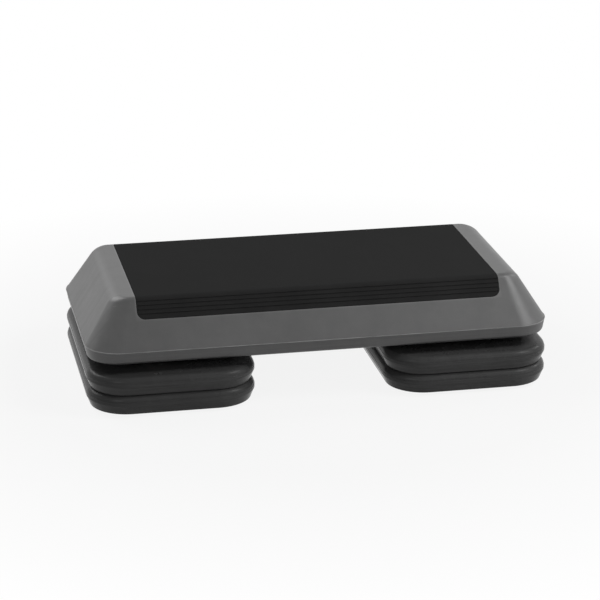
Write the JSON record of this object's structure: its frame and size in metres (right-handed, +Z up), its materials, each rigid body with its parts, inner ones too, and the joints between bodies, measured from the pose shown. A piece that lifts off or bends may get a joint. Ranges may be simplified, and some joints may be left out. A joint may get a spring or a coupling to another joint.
{
  "type": "step platform",
  "caption": "Low stepping platform: hollow grey deck with sloped sides and a black tread mat, standing on stacked black risers that lift off to lower it.",
  "frame": {"origin": "centre of the footprint, on the floor", "axes": "+X along the deck, +Y across it towards the side away from the picture's camera, +Z up"},
  "size_m": [0.711, 0.388, 0.1702],
  "materials": {
    "deck_plastic": "blow-moulded polyethylene with a fine mould grain",
    "riser_plastic": "blow-moulded polyethylene, satin",
    "mat_rubber": "matt rubber, grooved on the flaps",
    "foot_rubber": "matt rubber"
  },
  "bodies": {
    "lower_risers": {"riser_left_lower": "riser_plastic", "foot_left_lower_outer_front": "foot_rubber", "foot_left_lower_outer_back": "foot_rubber", "foot_left_lower_inner_front": "foot_rubber", "foot_left_lower_inner_back": "foot_rubber", "riser_right_lower": "riser_plastic", "foot_right_lower_outer_front": "foot_rubber", "foot_right_lower_outer_back": "foot_rubber", "foot_right_lower_inner_front": "foot_rubber", "foot_right_lower_inner_back": "foot_rubber"},
    "left_upper_riser": {"riser_left_upper": "riser_plastic", "foot_left_upper_outer_front": "foot_rubber", "foot_left_upper_outer_back": "foot_rubber", "foot_left_upper_inner_front": "foot_rubber", "foot_left_upper_inner_back": "foot_rubber"},
    "right_upper_riser": {"riser_right_upper": "riser_plastic", "foot_right_upper_outer_front": "foot_rubber", "foot_right_upper_outer_back": "foot_rubber", "foot_right_upper_inner_front": "foot_rubber", "foot_right_upper_inner_back": "foot_rubber"},
    "deck": {"deck_shell": "deck_plastic", "tread_mat": "mat_rubber", "foot_left_deck_outer_front": "foot_rubber", "foot_left_deck_outer_back": "foot_rubber", "foot_left_deck_inner_front": "foot_rubber", "foot_left_deck_inner_back": "foot_rubber", "foot_right_deck_outer_front": "foot_rubber", "foot_right_deck_outer_back": "foot_rubber", "foot_right_deck_inner_front": "foot_rubber", "foot_right_deck_inner_back": "foot_rubber"}
  },
  "joints": [
    {"name": "upper_tier_lift", "type": "slide", "parent": "lower_risers", "child": "left_upper_riser", "axis": [0, 0, 1], "range_m": [0, 0.06]},
    {"name": "right_upper_lift", "type": "slide", "parent": "lower_risers", "child": "right_upper_riser", "axis": [0, 0, 1], "range_m": [0, 0.06]},
    {"name": "deck_lift", "type": "slide", "parent": "left_upper_riser", "child": "deck", "axis": [0, 0, 1], "range_m": [0, 0.08]}
  ],
  "couplings": [
    {"joint": "right_upper_lift", "follows": "upper_tier_lift", "ratio": 1}
  ]
}
